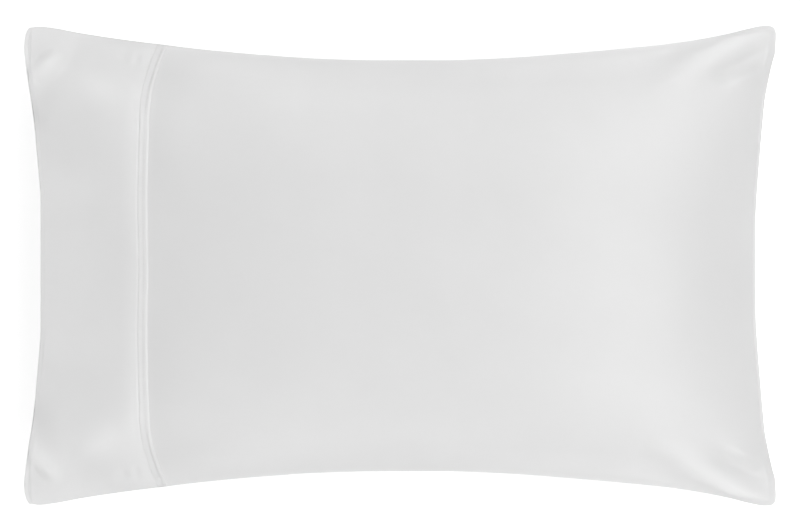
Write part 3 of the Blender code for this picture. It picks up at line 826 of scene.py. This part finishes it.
# ---------------------------------------------------------------------------------------------------------------------
# Materials
# ---------------------------------------------------------------------------------------------------------------------
def sateen(name, coordinates="cloth"):
    """White cotton sateen: fine warp floats that give it its lustre, a little slub, a soft bloom at grazing angles."""
    m = bpy.data.materials.new(name)
    m.use_nodes = True
    nt = m.node_tree
    p = nt.nodes["Principled BSDF"]
    p.inputs["Metallic"].default_value = 0.0
    p.inputs["Specular IOR Level"].default_value = 0.75
    p.inputs["Sheen Weight"].default_value = 0.22
    p.inputs["Sheen Roughness"].default_value = 0.35
    p.inputs["Sheen Tint"].default_value = (1, 1, 1, 1)
    p.inputs["Anisotropic"].default_value = 0.25

    def node(kind, **values):
        k = nt.nodes.new(kind)
        for key, value in values.items():
            setattr(k, key, value)
        return k

    def link(a, b):
        nt.links.new(a, b)

    if coordinates == "cloth":
        place = node("ShaderNodeUVMap", uv_map="cloth").outputs["UV"]
        to_mm = 1.0
    else:
        place = node("ShaderNodeTexCoord").outputs["Object"]
        to_mm = 1000.0
    mm = node("ShaderNodeMapping")
    mm.inputs["Scale"].default_value = (to_mm,) * 3
    link(place, mm.inputs["Vector"])

    def noise(scale, detail, stretch=(1, 1, 1), rough=0.5):
        s = node("ShaderNodeMapping")
        s.inputs["Scale"].default_value = tuple(scale * k for k in stretch)
        link(mm.outputs["Vector"], s.inputs["Vector"])
        t = node("ShaderNodeTexNoise")
        t.inputs["Scale"].default_value = 1.0
        t.inputs["Detail"].default_value = detail
        t.inputs["Roughness"].default_value = rough
        link(s.outputs["Vector"], t.inputs["Vector"])
        return t.outputs["Fac"]

    def math_node(kind, a, b=None):
        k = node("ShaderNodeMath", operation=kind)
        for socket, value in zip(k.inputs, (a, b)):
            if value is None:
                continue
            if isinstance(value, (int, float)):
                socket.default_value = value
            else:
                link(value, socket)
        return k.outputs[0]

    # colour: broad faint clouds, and threads a shade apart
    clouds = noise(1 / 90, 2)
    slub = noise(1.0, 3, (0.05, 2.2, 1.0))
    tone = math_node("ADD", math_node("MULTIPLY", clouds, 0.6), math_node("MULTIPLY", slub, 0.4))
    ramp = node("ShaderNodeValToRGB")
    ramp.color_ramp.elements[0].position, ramp.color_ramp.elements[1].position = 0.30, 0.70
    ramp.color_ramp.elements[0].color = (BASE - 0.012, BASE - 0.012, BASE - 0.012, 1)
    ramp.color_ramp.elements[1].color = (BASE + 0.012, BASE + 0.012, BASE + 0.012, 1)
    link(tone, ramp.inputs["Fac"])
    # and whiter by the same attribute: partly where more cloth lies doubled under it, partly painted light and
    # highlight
    layers_and_light = node("ShaderNodeAttribute", attribute_name="layers_and_light").outputs["Fac"]
    whiter = node("ShaderNodeVectorMath", operation="SCALE")
    link(ramp.outputs["Color"], whiter.inputs[0])
    link(math_node("ADD", math_node("MULTIPLY", layers_and_light, LAYERS_AND_LIGHT_WHITER), 1.0), whiter.inputs["Scale"])
    link(whiter.outputs[0], p.inputs["Base Color"])
    # roughness
    rough = math_node("ADD", math_node("MULTIPLY", slub, 0.06), ROUGH - 0.03)
    link(rough, p.inputs["Roughness"])
    # weave: warp floats four threads long, stepped as a sateen's are, over fine weft lines
    sep = node("ShaderNodeSeparateXYZ")
    link(mm.outputs["Vector"], sep.inputs[0])
    u, v = sep.outputs[0], sep.outputs[1]
    pitch = 0.28
    threads = math_node("SINE", math_node("MULTIPLY", v, 2 * math.pi / pitch))
    step = math_node("MULTIPLY", math_node("FLOOR", math_node("DIVIDE", v, pitch)), 2 * pitch)
    floats = math_node("SINE", math_node("MULTIPLY", math_node("ADD", u, step), 2 * math.pi / (5 * pitch)))
    weave = math_node("MULTIPLY", math_node("ADD", threads, math_node("MULTIPLY", floats, 0.6)), 0.010)
    fuzz = math_node("MULTIPLY", slub, 0.035)
    height = math_node("ADD", weave, fuzz)
    bump = node("ShaderNodeBump")
    bump.inputs["Strength"].default_value = 0.5
    bump.inputs["Distance"].default_value = 0.001
    link(height, bump.inputs["Height"])
    link(bump.outputs["Normal"], p.inputs["Normal"])
    return m


def thread_material():
    m = bpy.data.materials.new("thread")
    m.use_nodes = True
    nt = m.node_tree
    p = nt.nodes["Principled BSDF"]
    p.inputs["Roughness"].default_value = 0.42
    p.inputs["Sheen Weight"].default_value = 0.3
    co = nt.nodes.new("ShaderNodeTexCoord")
    wave = nt.nodes.new("ShaderNodeTexWave")
    wave.inputs["Scale"].default_value = 900.0
    wave.inputs["Distortion"].default_value = 1.0
    nt.links.new(co.outputs["Object"], wave.inputs["Vector"])
    ramp = nt.nodes.new("ShaderNodeValToRGB")
    ramp.color_ramp.elements[0].color = (BASE - 0.06,) * 3 + (1,)
    ramp.color_ramp.elements[1].color = (BASE + 0.04,) * 3 + (1,)
    nt.links.new(wave.outputs["Fac"], ramp.inputs["Fac"])
    nt.links.new(ramp.outputs["Color"], p.inputs["Base Color"])
    bump = nt.nodes.new("ShaderNodeBump")
    bump.inputs["Strength"].default_value = 0.4
    bump.inputs["Distance"].default_value = 0.0001
    nt.links.new(wave.outputs["Fac"], bump.inputs["Height"])
    nt.links.new(bump.outputs["Normal"], p.inputs["Normal"])
    return m


# the last value is how much whiter the base colour is made at a full share: partly for doubled cloth, partly painted
# light and highlight
BASE, ROUGH, LAYERS_AND_LIGHT_WHITER = 0.786, 0.38, 0.080

# ---------------------------------------------------------------------------------------------------------------------
# Build
# ---------------------------------------------------------------------------------------------------------------------
cloth = sateen("white_sateen")
thread = thread_material()

case = make_case()
case.data.materials.append(cloth)
parts = [make_tuck(True), make_tuck(False)]
for o in parts:
    o.data.materials.append(cloth)
stitches = [make_stitches(True), make_stitches(False)]
for o in stitches:
    o.data.materials.append(thread)

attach(case, "root")
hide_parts("pillowcase")
for o in parts + stitches:
    o.parent = case

# ---------------------------------------------------------------------------------------------------------------------
# Floor, light and camera
# ---------------------------------------------------------------------------------------------------------------------
FLOOR_PALE, FLOOR_GLOW, FLOOR_BOUNCE = 0.85, 0.60, 0.72
FLOOR_FADES = (0.5, 2.4)  # metres from the middle
SKY, SKY_SEEN = 0.240, 0.78
# Broad soft lamps in pairs, mirrored across Y: how far each leans off the vertical, in degrees, and how strong it is
LAMPS = (
    # toward_x, toward_y, strength
    (15.0, 0.0, 0.125), (34.0, 0.0, 0.355), (30.0, 30.0, 0.527), (24.0, 55.0, 0.300), (50.0, 30.0, 0.148),
    (0.0, 86.0, 0.245), (40.0, 75.0, 0.147), (-65.0, 0.0, 0.310), (-45.0, 50.0, 0.312), (-80.0, 0.0, 0.220),
)
LAMP_SPREAD = 20.0  # how wide each looks from the case, degrees


def make_floor():
    """A pale sweep: the camera sees it near white, and it throws back only a little light, so that undersides keep form."""
    me = bpy.data.meshes.new("floor")
    r = 120.0
    me.from_pydata([(-r, -r, -0.0003), (r, -r, -0.0003), (r, r, -0.0003), (-r, r, -0.0003)], [], [(0, 1, 2, 3)])
    ob = bpy.data.objects.new("floor", me)
    bpy.context.scene.collection.objects.link(ob)
    m = bpy.data.materials.new("floor")
    m.use_nodes = True
    nt = m.node_tree
    p = nt.nodes["Principled BSDF"]
    p.inputs["Base Color"].default_value = (FLOOR_PALE, FLOOR_PALE, FLOOR_PALE, 1)
    p.inputs["Roughness"].default_value = 1.0
    p.inputs["Specular IOR Level"].default_value = 0.0
    p.inputs["Emission Color"].default_value = (1, 1, 1, 1)
    p.inputs["Emission Strength"].default_value = FLOOR_GLOW
    # far off it runs into the backdrop
    co = nt.nodes.new("ShaderNodeTexCoord")
    length = nt.nodes.new("ShaderNodeVectorMath")
    length.operation = "LENGTH"
    nt.links.new(co.outputs["Object"], length.inputs[0])
    near = nt.nodes.new("ShaderNodeMapRange")
    near.inputs["From Min"].default_value, near.inputs["From Max"].default_value = FLOOR_FADES
    near.inputs["To Min"].default_value, near.inputs["To Max"].default_value = 1.0, 0.0
    nt.links.new(length.outputs["Value"], near.inputs["Value"])
    soft = nt.nodes.new("ShaderNodeMath")
    soft.operation = "POWER"
    soft.inputs[1].default_value = 3.0
    nt.links.new(near.outputs["Result"], soft.inputs[0])
    backdrop = nt.nodes.new("ShaderNodeEmission")
    backdrop.inputs["Color"].default_value = (1, 1, 1, 1)
    backdrop.inputs["Strength"].default_value = SKY_SEEN
    sweep_mix = nt.nodes.new("ShaderNodeMixShader")
    nt.links.new(soft.outputs[0], sweep_mix.inputs[0])
    nt.links.new(backdrop.outputs[0], sweep_mix.inputs[1])
    nt.links.new(p.outputs[0], sweep_mix.inputs[2])
    dull = nt.nodes.new("ShaderNodeBsdfDiffuse")
    dull.inputs["Color"].default_value = (FLOOR_BOUNCE, FLOOR_BOUNCE, FLOOR_BOUNCE, 1)
    mix = nt.nodes.new("ShaderNodeMixShader")
    path = nt.nodes.new("ShaderNodeLightPath")
    nt.links.new(path.outputs["Is Camera Ray"], mix.inputs[0])
    nt.links.new(dull.outputs[0], mix.inputs[1])
    nt.links.new(sweep_mix.outputs[0], mix.inputs[2])
    nt.links.new(mix.outputs[0], nt.nodes["Material Output"].inputs["Surface"])
    me.materials.append(m)
    return ob


make_floor()

world = bpy.data.worlds.new("studio")
bpy.context.scene.world = world
world.use_nodes = True
wt = world.node_tree
back = wt.nodes["Background"]
back.inputs["Color"].default_value = (1, 1, 1, 1)
back.inputs["Strength"].default_value = SKY
seen = wt.nodes.new("ShaderNodeBackground")
seen.inputs["Color"].default_value = (1, 1, 1, 1)
seen.inputs["Strength"].default_value = SKY_SEEN
mix = wt.nodes.new("ShaderNodeMixShader")
path = wt.nodes.new("ShaderNodeLightPath")
wt.links.new(path.outputs["Is Camera Ray"], mix.inputs[0])
wt.links.new(back.outputs[0], mix.inputs[1])
wt.links.new(seen.outputs[0], mix.inputs[2])
wt.links.new(mix.outputs[0], wt.nodes["World Output"].inputs["Surface"])


def make_lamps():
    for number, (toward_x, toward_y, strength) in enumerate(LAMPS):
        if strength <= 0:
            continue
        for side in (1, -1) if toward_y else (1,):
            lamp = bpy.data.lights.new(f"softbox_{number}", "SUN")
            lamp.energy = strength
            lamp.angle = math.radians(LAMP_SPREAD)
            ob = bpy.data.objects.new(lamp.name, lamp)
            bpy.context.scene.collection.objects.link(ob)
            a, b = math.radians(toward_x), math.radians(toward_y)
            toward = Vector((math.sin(a) * math.cos(b), side * math.sin(b), math.cos(a) * math.cos(b)))
            ob.rotation_euler = toward.to_track_quat("Z", "Y").to_euler()
            ob.location = toward * 3


make_lamps()

camera = bpy.data.cameras.new("camera")
camera.lens = 500
camera.sensor_width = 36
camera_object = bpy.data.objects.new("camera", camera)
bpy.context.scene.collection.objects.link(camera_object)
FRAME_WIDTH = 0.800  # metres across the frame at the height of the case's outline
distance = FRAME_WIDTH * camera.lens / camera.sensor_width
camera_object.location = (-0.0005, 0.00072, distance + 0.078)
camera.clip_start, camera.clip_end = 0.1, 200
bpy.context.scene.camera = camera_object
bpy.context.scene.view_settings.view_transform = "Standard"
